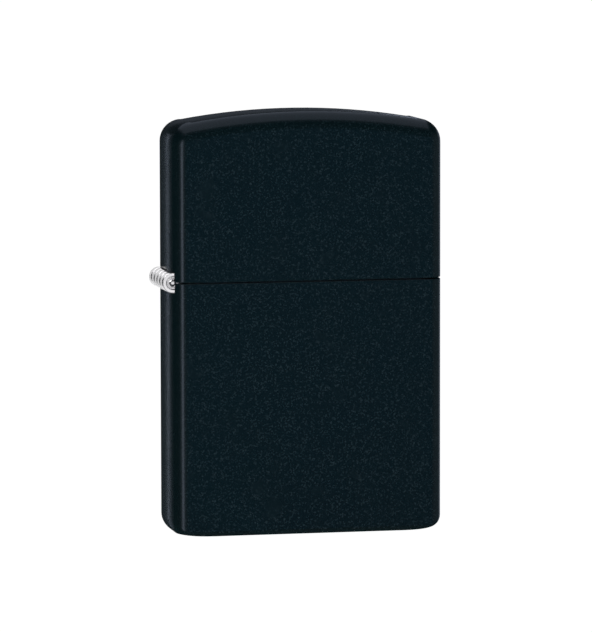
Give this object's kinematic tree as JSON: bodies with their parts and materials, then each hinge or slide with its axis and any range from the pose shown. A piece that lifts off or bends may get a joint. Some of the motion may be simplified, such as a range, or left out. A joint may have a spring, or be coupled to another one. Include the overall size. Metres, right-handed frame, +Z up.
{
  "type": "flip-top windproof pocket lighter",
  "caption": "Closed flip-top petrol lighter: matte black case and hinged lid over a removable inner unit with windscreen, striker wheel, cam, wick and packing.",
  "frame": {"origin": "middle of the flat base that the closed lighter stands on, below the middle of the case", "axes": "+Z up through the lid, +X away from the hinge, front face towards -Y"},
  "size_m": [0.0384, 0.0126, 0.0572],
  "materials": {
    "black_coat": "fine-grained matte powder coat over drawn brass",
    "hinge_chrome": "bright nickel-chrome plate",
    "insert_steel": "satin stainless sheet",
    "spring_steel": "bright spring steel",
    "wheel_steel": "hardened steel with cut teeth",
    "brass": "turned brass",
    "flint_alloy": "dull pressed alloy",
    "cotton": "loose cotton wool",
    "felt": "pressed wool felt",
    "wick_cord": "braided cotton cord with copper strands"
  },
  "bodies": {
    "case": {"case_shell": "black_coat", "case_hinge_leaf": "hinge_chrome", "hinge_pin": "hinge_chrome", "insert_shell": "insert_steel", "top_plate": "insert_steel", "windscreen": "insert_steel", "wheel_rivet": "brass", "cam_rivet": "insert_steel", "cam_spring": "spring_steel", "spring_rivet": "brass", "flint_tube": "brass", "flint_screw": "brass", "flint_spring": "spring_steel", "wick": "wick_cord", "cotton_packing": "cotton", "felt_pad": "felt"},
    "lid": {"lid_shell": "black_coat", "lid_hinge_leaf": "hinge_chrome"},
    "cam": {"cam": "spring_steel"},
    "wheel": {"flint_wheel": "wheel_steel"},
    "flint": {"flint": "flint_alloy", "spring_tip": "brass"}
  },
  "joints": [
    {"name": "lid_hinge", "type": "hinge", "parent": "case", "child": "lid", "pos_m": [-0.01857, 0, 0.0344], "axis": [0, -1, 0], "range_deg": [0, 120]},
    {"name": "cam_pivot", "type": "hinge", "parent": "case", "child": "cam", "pos_m": [-0.0109, 0, 0.0402], "axis": [0, -1, 0], "range_deg": [0, 34]},
    {"name": "wheel_spin", "type": "hinge", "parent": "case", "child": "wheel", "pos_m": [0.0098, 0, 0.0437], "axis": [0, 1, 0], "continuous": true},
    {"name": "flint_feed", "type": "slide", "parent": "case", "child": "flint", "axis": [0, 0, 1], "range_m": [-0.001, 0], "stiffness_N_per_m": 150, "deforming": ["flint_spring"]}
  ],
  "couplings": [
    {"joint": "cam_pivot", "follows": "lid_hinge", "ratio": 0.28333}
  ]
}
